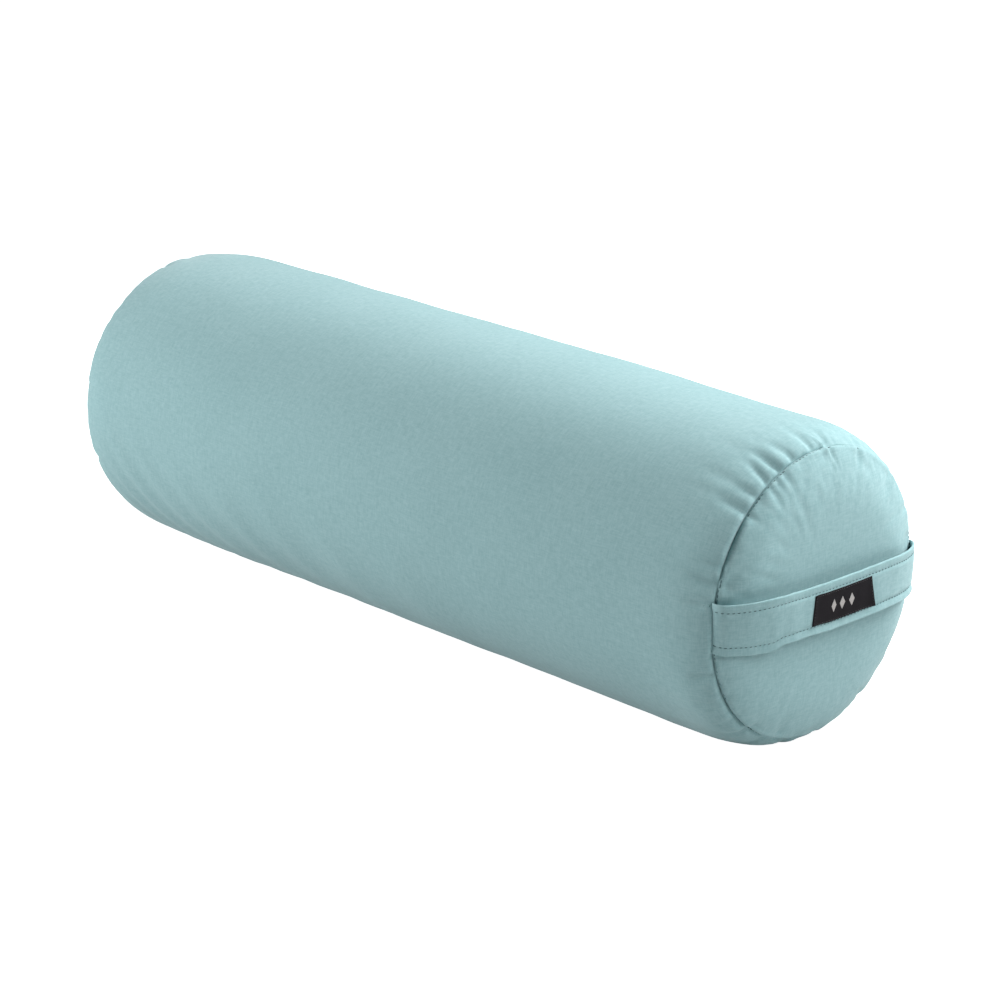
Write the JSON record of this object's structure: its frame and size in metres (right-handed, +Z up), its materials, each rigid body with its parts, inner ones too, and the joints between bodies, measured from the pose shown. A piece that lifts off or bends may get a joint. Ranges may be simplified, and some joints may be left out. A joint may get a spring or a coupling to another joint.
{
  "type": "bolster pillow",
  "caption": "Round, firm bolster pillow with a canvas cover, a fabric carry handle across one end, a lengthwise zip and a rolled cotton fill.",
  "frame": {"origin": "on the flat that the bolster rests on, at the middle of the sleeve's length and width", "axes": "+X along the bolster towards the carry handle, +Z up from the rest flat, +Y towards the zip at the back"},
  "size_m": [0.7004, 0.2313, 0.223],
  "materials": {
    "canvas": "pale blue-grey cotton canvas, fine plain weave, matte",
    "strap_canvas": "the cover's canvas folded in layers, matte",
    "sewing_thread": "spun polyester sewing thread matched to the canvas",
    "webbing": "natural cotton webbing",
    "label_weave": "black damask label weave",
    "label_thread": "fine black thread",
    "zipper_tape": "herringbone polyester tape",
    "zipper_nylon": "nylon coil, satin",
    "zipper_metal": "nickel-plated zinc, satin",
    "calico": "unbleached calico, matte",
    "liner_thread": "cotton thread",
    "cotton_batting": "needled cotton batting, fuzzy"
  },
  "bodies": {
    "bolster": {"cover_sleeve": "canvas", "cover_end_handle": "canvas", "cover_end_plain": "canvas", "end_seam_thread_handle": "sewing_thread", "end_seam_thread_plain": "sewing_thread", "handle_anchor_stitches": "sewing_thread", "zipper_tape_upper": "zipper_tape", "zipper_tape_lower": "zipper_tape", "zipper_coil_upper": "zipper_nylon", "zipper_coil_lower": "zipper_nylon", "zipper_topstitch_upper": "sewing_thread", "zipper_topstitch_lower": "sewing_thread", "zipper_top_stops": "zipper_metal", "zipper_bottom_stop": "zipper_metal", "liner_sleeve": "calico", "liner_end_handle": "calico", "liner_end_plain": "calico", "liner_seam_thread_handle": "liner_thread", "liner_seam_thread_plain": "liner_thread", "liner_closing_stitches": "liner_thread", "batting_core": "cotton_batting", "batting_inner_wrap": "cotton_batting", "batting_outer_wrap": "cotton_batting", "batting_pad_handle": "cotton_batting", "batting_pad_plain": "cotton_batting"},
    "carry_strap": {"handle_strap": "strap_canvas", "handle_webbing": "webbing", "handle_topstitch_upper": "sewing_thread", "handle_topstitch_lower": "sewing_thread", "label": "label_weave", "label_stitching": "label_thread"},
    "slider": {"zipper_slider": "zipper_metal"},
    "pull": {"zipper_pull_tab": "zipper_metal"}
  },
  "joints": [
    {"name": "handle_lift", "type": "slide", "parent": "bolster", "child": "carry_strap", "axis": [1, 0, 0], "range_m": [0, 0.012]},
    {"name": "zipper_slide", "type": "slide", "parent": "bolster", "child": "slider", "axis": [-1, 0, 0], "range_m": [0, 0.519]},
    {"name": "pull_swing", "type": "hinge", "parent": "slider", "child": "pull", "pos_m": [0.2595, 0.1143, 0.13229], "axis": [0, 0.2079, -0.9781], "range_deg": [0, 180]}
  ]
}
